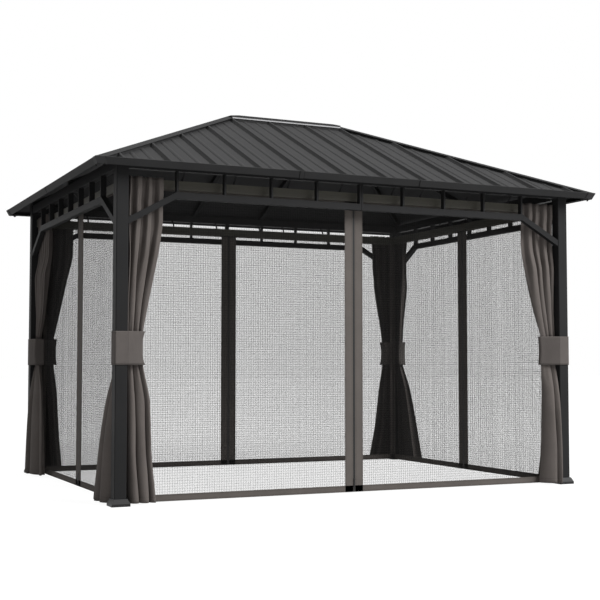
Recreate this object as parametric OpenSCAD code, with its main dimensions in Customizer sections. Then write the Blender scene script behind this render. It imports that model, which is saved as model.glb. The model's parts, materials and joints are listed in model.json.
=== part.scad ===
// Metal garden gazebo with a hipped seamed roof, zipped nets and tied curtains.
// Origin on the ground below the middle of the roof, X along the long side, Z up, millimetres.

/* [Roof] */
// Length of the roof over the fascias
roof_l = 3600; // [3300:10:4200]
// Width of the roof over the fascias
roof_w = 2680; // [2200:10:3100]
// Height of the top edge of the fascias
eave_z = 2041; // [1900:1:2300]
// Rise from the top edge of the fascias to the line where the roof faces meet
roof_rise = 610; // [520:1:760]
// Thickness of the ridge and hip caps
cap_t = 3; // [2:0.5:5]
// Width of a cap on each side of its hip or ridge
cap_w = 46; // [40:1:70]
// Height of the ridge cap above the line where the roof faces meet
crest_h = 8; // [4:0.5:14]
// Half the flat top of the ridge cap
crest_w = 24; // [14:0.5:26]
// Level width of the steep shoulder of the ridge cap
shoulder_w = 10; // [6:0.5:12]
// Drop of the steep shoulder of the ridge cap
shoulder_h = 12; // [8:0.5:16]
// Level length of the bevelled ends of the ridge cap
crest_bevel = 75; // [50:1:110]
// Height of the standing seams
seam_h = 20; // [15:1:28]
// Width of the standing seams
seam_w = 12; // [10:1:30]
// Distance between standing seams
seam_pitch = 295; // [200:1:400]
// Small ribs between two standing seams
ribs_per_bay = 2; // [1:1:4]
// Height of the small ribs
rib_h = 4; // [2:0.5:8]
// Width of the small ribs
rib_w = 14; // [8:1:20]
// Thickness of the roof sheets
sheet_t = 2.5; // [1.5:0.5:5]

/* [Fascia] */
// Height of the fascia, square to the roof slope
fascia_h = 45; // [40:1:70]
// Wall of the fascia profile
fascia_t = 3; // [2:0.5:5]
// Lip at the top of the fascia
fascia_lip = 8; // [5:1:12]
// Shelf of the fascia that carries the roof sheet
fascia_shelf = 25; // [18:1:40]
// Return at the bottom of the fascia
fascia_return = 18; // [8:1:30]

/* [Rafters] */
// Width of the rafters
rafter_w = 30; // [20:1:50]
// Upright depth of the rafters
rafter_d = 40; // [30:1:60]
// Place of the common rafters, as a share of half the ridge
rafter_share = 0.65; // [0.4:0.05:0.8]
// Upright depth of the ridge beam
ridge_beam_d = 60; // [45:1:90]
// Length of the ridge beam past each end of the ridge
ridge_nose = 40; // [38:1:80]

/* [Posts] */
// Overhang of the roof past the posts at the short sides
overhang_l = 161; // [100:1:200]
// Overhang of the roof past the posts at the long sides
overhang_w = 114; // [90:1:180]
// Side of the square posts
post_s = 75; // [60:1:100]
// Corner radius of the posts
post_r = 6; // [2:0.5:10]

/* [Feet] */
// Side of the square feet
foot_s = 113; // [108:1:150]
// Height of the upright edge of the feet
foot_edge_h = 16; // [12:1:40]
// Height of the sloped skirt of the feet
foot_skirt_h = 28; // [10:1:40]
// Ledge left at the top of the skirt round the post
foot_ledge = 5; // [3:0.5:8]
// Thickness of the floor of the feet
foot_floor = 6; // [3:0.5:12]

/* [Beams and friezes] */
// Drop from the top edge of the fascias to the underside of the top beams
beam_drop = 36; // [20:1:60]
// Depth of the top beams
beam_d = 45; // [34:1:60]
// Set-back of beams and rails from the outer faces of the posts
rail_set = 4; // [2:0.5:8]
// Height of the lower rails
rail_h = 42; // [30:1:60]
// Depth of the lower rails, bars and braces
rail_d = 36; // [24:1:42]
// Clear height between the top beams and the lower rails
frieze_h = 128; // [100:1:220]
// Level length of the corner braces
brace_run = 300; // [200:5:400]
// Drop of the corner braces to the posts
brace_drop = 167; // [100:1:240]
// Width of the upright bars
bar_w = 12; // [8:1:24]
// Bays between the bars on a long side, an even number
long_bays = 8; // [4:2:12]
// Bays between the bars on a short side
short_bays = 6; // [3:1:9]
// Gap of the joint in the middle of the long rails
splice_gap = 2; // [1:0.5:4]

/* [Curtain rails and nets] */
// Drop from the underside of the top beams to the curtain rails
header_drop = 48; // [15:1:60]
// Height of the curtain rails
header_h = 57; // [40:1:60]
// Depth of the curtain rails
header_d = 25; // [20:1:40]
// Thickness of the net panels
net_t = 3; // [2:0.5:4]
// Height of the lower edge of the nets above the ground
net_floor_z = 8; // [5:1:40]
// Gap between the two panels of a net
net_gap = 2; // [1:0.5:6]
// Band of a net panel along the zip
net_zip_band = 58; // [40:1:70]
// Band of a net panel along the post
net_post_band = 30; // [20:1:50]
// Band of a net panel along the ground
net_foot_band = 42; // [30:1:60]
// Hem of a net panel below the curtain rail
net_top_band = 10; // [6:1:20]
// Width of the bars that stand for the mesh
net_bar = 8; // [6:1:12]
// Openings across a net panel of a long side
net_long_cells = 6; // [4:1:6]
// Openings across a net panel of a short side
net_short_cells = 4; // [3:1:6]
// Openings up a net panel
net_rows = 7; // [5:1:9]

/* [Curtains and ties] */
// Height of the curtain tops above the curtain rails
curtain_rise = 8; // [2:1:12]
// Height of the curtain hems above the ground
curtain_hem_z = 12; // [10:1:40]
// Width of a gathered curtain at its top
curtain_top_w = 240; // [180:5:300]
// Width of a gathered curtain in its tie
curtain_tie_w = 105; // [80:1:130]
// Width of the hem of a curtain on a long side
long_hem_w = 220; // [150:5:320]
// Width of the hem of a curtain on a short side
short_hem_w = 420; // [200:5:480]
// Folds in a gathered curtain
folds = 5; // [4:1:7]
// Share of a gathered curtain's depth that its folds take
fold_share = 0.6; // [0.3:0.05:0.7]
// Gap between a post and the gathered curtain beside it
gather_gap = 4; // [2:0.5:8]
// Lower edge of the tie bands
tie_z = 830; // [700:5:1000]
// Height of the tie bands
tie_h = 200; // [120:5:260]
// Thickness of the tie bands
tie_t = 4; // [3:0.5:5]
// Slack of the tie bands past the gathered cloth
tie_slack = 6; // [2:0.5:12]

/* [Hidden] */
// Clearance of a soft piece from its seat
soft_fit = 0.3;
// Clearance of the post in its foot
foot_fit = 0.3;
// Clearance between roof sheets at the hips and at the fascia
sheet_gap = 1;
// Clearance of the posts and beams below the roof sheets
plate_gap = 1;
// Room round the roof in its construction solids
reach = 200;
// Plan angle between the hips and the eaves
hip_plan = 45;
// Rings in a stretch of a gathered curtain, points in a fold, and bend of its flare
ring_steps = 4;
fold_steps = 6;
flare = 0.8;

half_l = roof_l / 2;
half_w = roof_w / 2;
ridge_half = half_l - half_w;
slope = roof_rise / half_w;
pitch = atan(slope);
ridge_z = eave_z + roof_rise;
rafter_x = ridge_half * rafter_share;
post_x = half_l - overhang_l;
post_y = half_w - overhang_w;

// Upright depths below the top of the caps
seam_top = cap_t;
sheet_top = seam_top + seam_h;
seam_root = sheet_top + sheet_t / 2;
rafter_top = sheet_top + sheet_t;
plate_z = eave_z + min(overhang_l, overhang_w) * slope - rafter_top - plate_gap;

// Edges of sheets and caps in plan, inside the fascia profile
sheet_in = fascia_t * cos(pitch) + rafter_top * cos(pitch) * sin(pitch) + sheet_gap;
cap_in = fascia_lip * cos(pitch) + fascia_t * sin(pitch) + sheet_gap;
sheet_edge = half_w - sheet_in;
cap_edge = half_w - cap_in;

inner_x = post_x - post_s;
inner_y = post_y - post_s;
rail_x = post_x - rail_set;
rail_y = post_y - rail_set;
kink_x = inner_x - brace_run;
kink_y = inner_y - brace_run;
net_x = inner_x - header_d / 2;
net_y = inner_y - header_d / 2;

// Heights from the eaves down
beam_z = eave_z - beam_drop;
rail_top_z = beam_z - frieze_h;
rail_z = rail_top_z - rail_h;
brace_z = rail_z - brace_drop;
header_top_z = beam_z - header_drop;
header_z = header_top_z - header_h;
curtain_top_z = header_top_z + curtain_rise;

metal = "#3a3a3c";
dark_metal = "#2e2e30";
sheet_metal = "#4d4d4f";
net_grey = "#8a8886";
cloth = "#6a6462";

// Places a corner piece, made at +X +Y, at the corner with signs sx and sy
module corner(sx, sy) {
  mirror([sx < 0 ? 1 : 0, 0, 0]) mirror([0, sy < 0 ? 1 : 0, 0]) children();
}

// Places a corner piece at all four corners
module corners() {
  for (sx = [-1, 1], sy = [-1, 1]) corner(sx, sy) children();
}

// Places a piece made on the +Y side on the front
module to_front() {
  mirror([0, 1, 0]) children();
}

// Places a piece made on the +X side on the left
module to_left() {
  mirror([1, 0, 0]) children();
}

// Upright prism over a plan outline
module plan(points) {
  linear_extrude(ridge_z + reach) polygon(points);
}

// Hipped solid whose faces lie a given upright depth below the top of the caps
module roof_solid(depth) {
  w = half_w + reach;
  low = ridge_z - w * slope;
  translate([0, 0, -depth]) intersection() {
    translate([-half_l - reach, 0, 0]) rotate([90, 0, 90]) linear_extrude(2 * (half_l + reach))
      polygon([[-w, low], [w, low], [0, ridge_z]]);
    translate([0, w, 0]) rotate([90, 0, 0]) linear_extrude(2 * w)
      polygon([[-ridge_half - w, low], [ridge_half + w, low], [ridge_half, ridge_z], [-ridge_half, ridge_z]]);
  }
}

// Layer of the roof between two upright depths
module roof_layer(from, to) {
  difference() {
    roof_solid(from);
    roof_solid(to);
  }
}

// Square with rounded corners about the middle of a post
module post_outline(side, radius) {
  square([side - 2 * radius, side], center = true);
  square([side, side - 2 * radius], center = true);
  for (sx = [-1, 1], sy = [-1, 1])
    translate([sx * (side / 2 - radius), sy * (side / 2 - radius)]) circle(radius, $fn = 48);
}

module post() {
  color(metal) translate([post_x - post_s / 2, post_y - post_s / 2, foot_floor])
    linear_extrude(plate_z - foot_floor) post_outline(post_s, post_r);
}

// Foot: upright edge, sloped skirt and a pocket for the post
module foot() {
  half = foot_s / 2;
  top_half = post_s / 2 + foot_ledge;
  height = foot_edge_h + foot_skirt_h;
  outline = [
    [-half, 0], [half, 0], [half, foot_edge_h], [top_half, height], [-top_half, height], [-half, foot_edge_h]
  ];
  color(dark_metal) translate([post_x - post_s / 2, post_y - post_s / 2, 0]) difference() {
    intersection() {
      translate([0, half, 0]) rotate([90, 0, 0]) linear_extrude(foot_s) polygon(outline);
      translate([-half, 0, 0]) rotate([90, 0, 90]) linear_extrude(foot_s) polygon(outline);
    }
    translate([0, 0, foot_floor]) linear_extrude(height)
      post_outline(post_s + 2 * foot_fit, post_r + foot_fit);
  }
}

// Top beam on the back, between the posts
module long_beam() {
  color(metal) translate([-inner_x, rail_y - beam_d, beam_z])
    cube([2 * inner_x, beam_d, plate_z - beam_z]);
}

// Top beam on the right
module short_beam() {
  color(metal) translate([rail_x - beam_d, -inner_y, beam_z])
    cube([beam_d, 2 * inner_y, plate_z - beam_z]);
}

// Lower rail of a long side, in two halves with a joint in the middle
module long_rail() {
  color(metal) for (s = [0, 1]) mirror([s, 0, 0])
    translate([splice_gap / 2, rail_y - rail_d, rail_z])
      cube([kink_x - splice_gap / 2, rail_d, rail_h]);
}

module short_rail() {
  color(metal) translate([rail_x - rail_d, -kink_y, rail_z]) cube([rail_d, 2 * kink_y, rail_h]);
}

// Upright bars of a long side, with a pair at the joint
module long_bars() {
  step = 2 * kink_x / long_bays;
  color(metal) for (s = [0, 1]) mirror([s, 0, 0]) for (i = [0 : long_bays / 2]) {
    at = i == 0 ? splice_gap / 2 : i == long_bays / 2 ? kink_x - bar_w : i * step - bar_w / 2;
    translate([at, rail_y - rail_d, rail_top_z]) cube([bar_w, rail_d, beam_z - rail_top_z]);
  }
}

module short_bars() {
  step = 2 * kink_y / short_bays;
  color(metal) for (i = [0 : short_bays]) {
    at = i == 0 ? -kink_y : i == short_bays ? kink_y - bar_w : -kink_y + i * step - bar_w / 2;
    translate([rail_x - rail_d, at, rail_top_z]) cube([rail_d, bar_w, beam_z - rail_top_z]);
  }
}

// Outline of a brace from the end of a rail down to a post
function brace_outline(kink, inner) = [
  [kink, rail_z], [inner, brace_z],
  [inner, rail_top_z - brace_drop], [kink, rail_top_z]
];

module long_braces() {
  color(metal) for (s = [0, 1]) mirror([s, 0, 0])
    translate([0, rail_y, 0]) rotate([90, 0, 0]) linear_extrude(rail_d)
      polygon(brace_outline(kink_x, inner_x));
}

module short_braces() {
  color(metal) for (s = [0, 1]) mirror([0, s, 0])
    translate([rail_x - rail_d, 0, 0]) rotate([90, 0, 90]) linear_extrude(rail_d)
      polygon(brace_outline(kink_y, inner_y));
}

// Curtain rail on the inner faces of the back posts
module long_header() {
  reach_x = post_x - post_s / 2;
  color(dark_metal) translate([-reach_x, inner_y - header_d, header_z])
    cube([2 * reach_x, header_d, header_h]);
}

// Curtain rail between the long ones, on the right
module short_header() {
  color(dark_metal) translate([inner_x - header_d, -inner_y + header_d, header_z])
    cube([header_d, 2 * (inner_y - header_d), header_h]);
}

// Fascia profile: u runs in along the slope, v square to it and down
function fascia_point(half, u, v) = [
  half - u * cos(pitch) - v * sin(pitch), eave_z + u * sin(pitch) - v * cos(pitch)
];
shelf_v = rafter_top * cos(pitch);
fascia_profile = [
  [0, 0], [fascia_lip, 0], [fascia_lip, fascia_t], [fascia_t, fascia_t],
  [fascia_t, shelf_v], [fascia_shelf, shelf_v],
  [fascia_shelf, shelf_v + fascia_t], [fascia_t, shelf_v + fascia_t],
  [fascia_t, fascia_h - fascia_t], [fascia_return, fascia_h - fascia_t],
  [fascia_return, fascia_h], [0, fascia_h]
];

// Fascia on the back, cut at the mitres
module long_fascia() {
  out = half_w + reach;
  color(metal) intersection() {
    translate([-half_l - reach, 0, 0]) rotate([90, 0, 90]) linear_extrude(2 * (half_l + reach))
      polygon([for (p = fascia_profile) fascia_point(half_w, p[0], p[1])]);
    plan([[-ridge_half, 0], [ridge_half, 0], [ridge_half + out, out], [-ridge_half - out, out]]);
  }
}

// Fascia on the right, cut at the mitres
module short_fascia() {
  out = half_w + reach;
  color(metal) intersection() {
    translate([0, out, 0]) rotate([90, 0, 0]) linear_extrude(2 * out)
      polygon([for (p = fascia_profile) fascia_point(half_l, p[0], p[1])]);
    plan([[ridge_half, 0], [ridge_half + out, -out], [ridge_half + out, out]]);
  }
}

// Plan outline of the back roof sheet
long_sheet = [
  [-ridge_half, sheet_gap], [ridge_half, sheet_gap],
  [ridge_half + sheet_edge - sheet_gap, sheet_edge], [-ridge_half - sheet_edge + sheet_gap, sheet_edge]
];
// Plan outline of the right roof sheet
short_sheet = [
  [ridge_half + sheet_gap, 0], [ridge_half + sheet_edge, sheet_gap - sheet_edge],
  [ridge_half + sheet_edge, sheet_edge - sheet_gap]
];

// Places of the seams on each side of the middle of a face
function seams_to(limit) = [for (i = [0 : floor(limit / seam_pitch - 0.5)]) (i + 0.5) * seam_pitch];
// Places of the small ribs between the seams
function ribs_to(limit) = [
  for (i = [0 : floor(limit / seam_pitch)], k = [1 : ribs_per_bay])
    let (at = (i - 0.5 + k / (ribs_per_bay + 1)) * seam_pitch) if (at >= 0 && at < limit) at
];

// Roof sheet on the back with its seams and ribs
module long_roof() {
  seam_limit = ridge_half + sheet_edge - seam_w;
  color(sheet_metal) intersection() {
    plan(long_sheet);
    union() {
      roof_layer(sheet_top, rafter_top);
      intersection() {
        roof_layer(seam_top, seam_root);
        linear_extrude(ridge_z + reach) for (s = [-1, 1], at = seams_to(seam_limit))
          translate([s * at - seam_w / 2, 0]) square([seam_w, half_w]);
      }
      intersection() {
        roof_layer(sheet_top - rib_h, seam_root);
        linear_extrude(ridge_z + reach) for (s = [-1, 1], at = ribs_to(seam_limit))
          translate([s * at - rib_w / 2, 0]) square([rib_w, half_w]);
      }
    }
  }
}

// Roof sheet on the right with its seams and ribs
module short_roof() {
  seam_limit = sheet_edge - seam_w;
  color(sheet_metal) intersection() {
    plan(short_sheet);
    union() {
      roof_layer(sheet_top, rafter_top);
      intersection() {
        roof_layer(seam_top, seam_root);
        linear_extrude(ridge_z + reach) for (s = [-1, 1], at = seams_to(seam_limit))
          translate([0, s * at - seam_w / 2]) square([half_l, seam_w]);
      }
      intersection() {
        roof_layer(sheet_top - rib_h, seam_root);
        linear_extrude(ridge_z + reach) for (s = [-1, 1], at = ribs_to(seam_limit))
          translate([0, s * at - rib_w / 2]) square([half_l, rib_w]);
      }
    }
  }
}

mitre = cap_w * tan(hip_plan / 2);
hip_in = cap_w / sin(hip_plan);

// Ridge cap profile with a flat crest, steep shoulders and sides down to the seams, shrunk by an amount
module crest_profile(shrink) {
  foot_y = cap_w - shrink;
  foot_drop = seam_top + cap_w * slope;
  shoulder_y = crest_w + shoulder_w - shrink;
  outline = [
    [crest_w - shrink / 2, crest_h - shrink],
    [shoulder_y, crest_h - shoulder_h - shrink / 2],
    [foot_y, -foot_drop]
  ];
  other_side = [for (i = [len(outline) - 1 : -1 : 0]) [-outline[i][0], outline[i][1]]];
  translate([0, ridge_z]) polygon(concat(outline, other_side));
}

// Bar with the ridge cap's profile, bevelled and mitred at both ends and shortened by an amount
module crest_bar(shrink) {
  end = ridge_half - shrink;
  low = ridge_z - seam_top - cap_w * slope;
  top = ridge_z + crest_h;
  bevelled = [
    [-end, low], [end, low], [end, ridge_z - shrink], [end - crest_bevel, top],
    [crest_bevel - end, top], [-end, ridge_z - shrink]
  ];
  intersection() {
    translate([-ridge_half, 0, 0]) rotate([90, 0, 90]) linear_extrude(2 * ridge_half)
      crest_profile(shrink);
    translate([0, cap_w, 0]) rotate([90, 0, 0]) linear_extrude(2 * cap_w) polygon(bevelled);
    plan([
      [-end, 0], [mitre - end, -cap_w], [end - mitre, -cap_w],
      [end, 0], [end - mitre, cap_w], [mitre - end, cap_w]
    ]);
  }
}

// Ridge cap: a folded shell with closed ends, open below, that rests on the seams
module ridge_cap() {
  color(metal) difference() {
    crest_bar(0);
    crest_bar(cap_t);
    roof_solid(seam_top);
  }
}

// Hip cap at the back right corner
module hip_cap() {
  color(metal) intersection() {
    roof_layer(0, seam_top);
    plan([
      [ridge_half, 0], [ridge_half - mitre, cap_w], [ridge_half + cap_edge - hip_in, cap_edge],
      [ridge_half + cap_edge, cap_edge], [ridge_half + cap_edge, cap_edge - hip_in], [ridge_half + hip_in, 0]
    ]);
  }
}

module ridge_beam() {
  length = ridge_half + ridge_nose;
  color(dark_metal) intersection() {
    roof_layer(rafter_top, rafter_top + ridge_beam_d);
    translate([-length, -rafter_w / 2, 0]) cube([2 * length, rafter_w, ridge_z]);
  }
}

// Room of the posts and beams below the rafters
module plate_room() {
  difference() {
    translate([-half_l, -half_w, 0]) cube([roof_l, roof_w, plate_z]);
    translate([-rail_x + beam_d, -rail_y + beam_d, -reach])
      cube([2 * (rail_x - beam_d), 2 * (rail_y - beam_d), plate_z + 2 * reach]);
  }
}

module hip_rafters() {
  side = rafter_w / sqrt(2);
  far = post_x - rail_set;
  near = rafter_w / 2;
  color(dark_metal) corners() difference() {
    intersection() {
      roof_layer(rafter_top, rafter_top + rafter_d);
      plan([
        [ridge_half + near - side, near], [ridge_half + near + side, near],
        [far, far - ridge_half - side], [far, far - ridge_half + side]
      ]);
    }
    plate_room();
  }
}

module common_rafters() {
  color(dark_metal) difference() {
    intersection() {
      roof_layer(rafter_top, rafter_top + rafter_d);
      union() {
        corners()
          translate([rafter_x - rafter_w / 2, rafter_w / 2, 0])
            cube([rafter_w, rail_y - rafter_w / 2, ridge_z]);
        for (s = [0, 1]) mirror([s, 0, 0])
          translate([ridge_half + ridge_nose, -rafter_w / 2, 0])
            cube([rail_x - ridge_half - ridge_nose, rafter_w, ridge_z]);
      }
    }
    plate_room();
  }
}

// Net panel from the zip to the post: bands round a plain grid of openings
module net_panel(width, cells) {
  height = header_z - net_floor_z;
  cell_w = (width - net_zip_band - net_post_band - (cells - 1) * net_bar) / cells;
  cell_h = (height - net_foot_band - net_top_band - (net_rows - 1) * net_bar) / net_rows;
  linear_extrude(net_t) difference() {
    square([width, height]);
    for (i = [0 : cells - 1], k = [0 : net_rows - 1])
      translate([net_zip_band + i * (cell_w + net_bar), net_foot_band + k * (cell_h + net_bar)])
        square([cell_w, cell_h]);
  }
}

// Net of a long side, two panels that meet in the middle
module long_net() {
  width = net_x - net_t / 2 - sheet_gap - net_gap / 2;
  color(net_grey) for (s = [0, 1]) mirror([s, 0, 0])
    translate([net_gap / 2, net_y + net_t / 2, net_floor_z]) rotate([90, 0, 0])
      net_panel(width, net_long_cells);
}

module short_net() {
  width = net_y - net_t / 2 - sheet_gap - net_gap / 2;
  color(net_grey) for (s = [0, 1]) mirror([0, s, 0])
    translate([net_x - net_t / 2, net_gap / 2, net_floor_z]) rotate([90, 0, 90])
      net_panel(width, net_short_cells);
}

// Heights of the rings of a gathered curtain, from hem to top
curtain_rings = concat(
  [for (i = [0 : ring_steps]) curtain_hem_z + (tie_z - curtain_hem_z) * i / ring_steps],
  [for (i = [0 : ring_steps]) tie_z + tie_h + (brace_z - tie_z - tie_h) * i / ring_steps],
  [curtain_top_z]
);
function ease(f) = f * f * (3 - 2 * f);
// Share of the way from the tie down to the hem, and from the tie up to the braces
function below(z) = max(0, (tie_z - z) / (tie_z - curtain_hem_z));
function above(z) = min(1, max(0, (z - tie_z - tie_h) / (brace_z - tie_z - tie_h)));
// Width of a gathered curtain at a height
function gather_w(z, hem_w) =
  curtain_tie_w + (hem_w - curtain_tie_w) * pow(below(z), flare)
  + (curtain_top_w - curtain_tie_w) * ease(above(z));
// Start of the curtain from the inner face of the post, clear of the foot
function gather_start(z) = gather_gap + below(z) * (foot_s - post_s) / 2;
// Depth of the curtain out from the inner face of the post: behind the braces, or up to the post's outer face
function gather_d(z) = z < brace_z ? post_s - gather_gap : post_s - rail_set - rail_d - 2 * soft_fit;

// Gathered curtain: x runs along the side from the post, y out from the inner face of the post
module gathered(hem_w) {
  n = folds * fold_steps;
  row = 2 * (n + 1);
  m = len(curtain_rings);
  function wave(j) = (1 - cos(360 * j / fold_steps)) / 2;
  function place(z, j, out) = [
    gather_start(z) + gather_w(z, hem_w) * j / n,
    soft_fit + gather_d(z) * (fold_share * wave(j) + (out ? 1 - fold_share : 0)),
    z
  ];
  points = [for (z = curtain_rings, k = [0 : row - 1]) place(z, k <= n ? k : row - 1 - k, k > n)];
  sides = [
    for (i = [0 : m - 2], k = [0 : row - 1])
      let (a = i * row + k, b = i * row + (k + 1) % row, c = a + row, d = b + row) each [[a, d, b], [a, c, d]]
  ];
  function cap(base, up) = [
    for (j = [0 : n - 1])
      let (a = base + j, b = a + 1, c = base + row - 1 - j, d = c - 1)
        each up ? [[a, d, b], [a, c, d]] : [[a, b, d], [a, d, c]]
  ];
  polyhedron(points, concat(sides, cap(0, false), cap((m - 1) * row, true)));
}

// The two curtains of the back right corner
module curtains() {
  color(cloth) translate([inner_x, inner_y, 0]) {
    mirror([1, 0, 0]) gathered(long_hem_w);
    rotate([0, 0, -90]) gathered(short_hem_w);
  }
}

// Outline of the tie round the post and both curtains, grown by an amount
module tie_outline(grow) {
  reach_w = gather_gap + curtain_tie_w + tie_slack;
  in_x = net_x + net_t / 2 + soft_fit + tie_t;
  in_y = net_y + net_t / 2 + soft_fit + tie_t;
  out_x = post_x + soft_fit;
  out_y = post_y + soft_fit;
  translate([inner_x - reach_w - grow, in_y - grow])
    square([out_x - inner_x + reach_w + 2 * grow, out_y - in_y + 2 * grow]);
  translate([in_x - grow, inner_y - reach_w - grow])
    square([out_x - in_x + 2 * grow, out_y - inner_y + reach_w + 2 * grow]);
}

module tie() {
  color(cloth) translate([0, 0, tie_z]) linear_extrude(tie_h) difference() {
    tie_outline(tie_t);
    tie_outline(0);
  }
}

corner(-1, -1) post();  // front_left_post
corner(1, -1) post();  // front_right_post
corner(-1, 1) post();  // back_left_post
corner(1, 1) post();  // back_right_post
corners() foot();  // feet
to_front() long_beam();  // front_beam
long_beam();  // back_beam
to_left() short_beam();  // left_beam
short_beam();  // right_beam
to_front() long_rail();  // front_rail
long_rail();  // back_rail
to_left() short_rail();  // left_rail
short_rail();  // right_rail
to_front() long_bars();  // front_bars
long_bars();  // back_bars
to_left() short_bars();  // left_bars
short_bars();  // right_bars
union() {  // corner_braces
  long_braces();
  to_front() long_braces();
  short_braces();
  to_left() short_braces();
}
union() {  // long_curtain_rails
  long_header();
  to_front() long_header();
}
union() {  // short_curtain_rails
  short_header();
  to_left() short_header();
}
to_front() long_fascia();  // front_fascia
long_fascia();  // back_fascia
to_left() short_fascia();  // left_fascia
short_fascia();  // right_fascia
to_front() long_roof();  // front_roof
long_roof();  // back_roof
to_left() short_roof();  // left_roof
short_roof();  // right_roof
ridge_cap();
corner(-1, -1) hip_cap();  // front_left_hip_cap
corner(1, -1) hip_cap();  // front_right_hip_cap
corner(-1, 1) hip_cap();  // back_left_hip_cap
corner(1, 1) hip_cap();  // back_right_hip_cap
ridge_beam();
hip_rafters();
common_rafters();
to_front() long_net();  // front_net
long_net();  // back_net
to_left() short_net();  // left_net
short_net();  // right_net
corner(-1, -1) curtains();  // front_left_curtains
corner(1, -1) curtains();  // front_right_curtains
corner(-1, 1) curtains();  // back_left_curtains
corner(1, 1) curtains();  // back_right_curtains
corners() tie();  // tie_bands
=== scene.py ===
"""Looks of the metal gazebo: paint, roof sheet, nets with zips, gathered curtains, ties and small fittings.

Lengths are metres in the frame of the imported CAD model: X along the long side, Y to the back, Z up.
"""

import collections
import itertools
import json
import math

import bpy
import numpy as np
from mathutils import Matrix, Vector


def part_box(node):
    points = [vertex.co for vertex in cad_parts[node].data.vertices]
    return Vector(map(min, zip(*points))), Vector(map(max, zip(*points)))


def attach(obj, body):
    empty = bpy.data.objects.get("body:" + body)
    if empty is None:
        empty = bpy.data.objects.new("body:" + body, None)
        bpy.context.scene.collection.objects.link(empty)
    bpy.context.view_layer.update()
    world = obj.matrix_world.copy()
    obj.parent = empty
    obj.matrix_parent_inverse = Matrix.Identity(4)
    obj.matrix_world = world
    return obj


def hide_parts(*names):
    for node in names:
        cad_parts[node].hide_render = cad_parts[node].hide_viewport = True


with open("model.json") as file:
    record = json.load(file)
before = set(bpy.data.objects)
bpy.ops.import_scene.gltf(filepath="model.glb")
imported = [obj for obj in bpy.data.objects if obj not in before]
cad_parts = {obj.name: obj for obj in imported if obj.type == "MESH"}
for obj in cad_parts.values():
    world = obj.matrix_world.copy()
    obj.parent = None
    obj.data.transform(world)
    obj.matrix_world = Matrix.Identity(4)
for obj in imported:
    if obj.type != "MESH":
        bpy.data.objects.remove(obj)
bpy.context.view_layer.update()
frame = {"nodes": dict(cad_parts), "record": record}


def node_box(node):
    """Lowest and highest corner of a CAD node."""
    return [np.array(corner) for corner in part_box(node)]


# Places read from the frame
post_low, post_high = node_box("back_right_post")
rail_low, rail_high = node_box("back_rail")
side_rail_low, side_rail_high = node_box("right_rail")
back_net_low, back_net_high = node_box("back_net")
right_net_low, right_net_high = node_box("right_net")
beam_low = node_box("back_beam")[0]
side_beam_low = node_box("right_beam")[0]
header_high = node_box("long_curtain_rails")[1]
side_header_high = node_box("short_curtain_rails")[1]

post_outer = post_high[:2]
post_inner = post_low[:2]
header_depth = post_inner[1] - side_header_high[1]
brace_z = node_box("corner_braces")[0][2]
net_plane = np.array([right_net_low[0] + right_net_high[0], back_net_low[1] + back_net_high[1]]) / 2
net_bottom = back_net_low[2]
net_top = back_net_high[2]
net_reach = np.array([back_net_high[0], right_net_high[1]])
curtain_bottom, curtain_top = (corner[2] for corner in node_box("back_right_curtains"))
tie_bottom, tie_top = (corner[2] for corner in node_box("tie_bands"))
tie_height = tie_top - tie_bottom
roll_edge = node_box("back_roof")[1][1]

# Roof form, as in the CAD source
ROOF_RISE = 0.610
EAVE_Z = 2.041
FASCIA_H = 0.045
SEAM_H = 0.020
CAP_T = 0.003
CAP_W = 0.046
roof_half = np.array([node_box("right_fascia")[1][0], node_box("back_fascia")[1][1]])
ridge_half = roof_half[0] - roof_half[1]
roof_slope = ROOF_RISE / roof_half[1]
roof_pitch = math.atan(roof_slope)
ridge_z = EAVE_Z + ROOF_RISE

# Camera, fitted to the photograph
CAMERA_AT = (-3.5532, -7.9865, 0.827)
CAMERA_YAW = 0.4312
CAMERA_PITCH = 0.0554
CAMERA_LENS = 70.705
CAMERA_SENSOR = 36.0

BODY = "root"
UP = np.array([0.0, 0.0, 1.0])
BOTH = (-1, 1)


def corner_label(sign_x, sign_y):
    """Name of a corner from its signs."""
    return ("front" if sign_y < 0 else "back") + ("_left" if sign_x < 0 else "_right")


# Mesh helpers

def grid_faces(rows, columns, wrap=False):
    """Quads between neighbouring points of a rows by columns grid, closed round the columns if asked."""
    across = columns if wrap else columns - 1
    r, c = np.meshgrid(np.arange(rows - 1), np.arange(across), indexing="ij")
    here = r * columns
    above = here + columns
    after = (c + 1) % columns
    return np.stack([here + c, here + after, above + after, above + c], -1).reshape(-1, 4)


def repeat_faces(faces, copies, step):
    """The same faces for each of several copies of a shape, each copy step points further on."""
    shift = np.arange(copies)[:, None, None] * step
    return (faces[None] + shift).reshape(-1, faces.shape[1])


def make_piece(name, points, faces, material, uv=None, smooth=True):
    """Puts points and faces, with a UV pair for each point if given, into a mesh that rides on the frame."""
    mesh = bpy.data.meshes.new(name)
    mesh.from_pydata(points.reshape(-1, 3).tolist(), [], [f.tolist() for group in faces for f in group])
    if uv is not None:
        corner = np.empty(len(mesh.loops), dtype=np.int32)
        mesh.loops.foreach_get("vertex_index", corner)
        layer = mesh.uv_layers.new(name="UVMap")
        layer.data.foreach_set("uv", uv.reshape(-1, 2)[corner].ravel())
    mesh.polygons.foreach_set("use_smooth", np.full(len(mesh.polygons), smooth))
    mesh.materials.append(material)
    piece = bpy.data.objects.new(name, mesh)
    bpy.context.scene.collection.objects.link(piece)
    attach(piece, BODY)
    return piece


BOX_CORNERS = np.array([[x, y, z] for z in (0, 1) for y in (0, 1) for x in (0, 1)], float)
BOX_FACES = np.array([[0, 2, 3, 1], [4, 5, 7, 6], [0, 1, 5, 4], [2, 6, 7, 3], [0, 4, 6, 2], [1, 3, 7, 5]])


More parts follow.
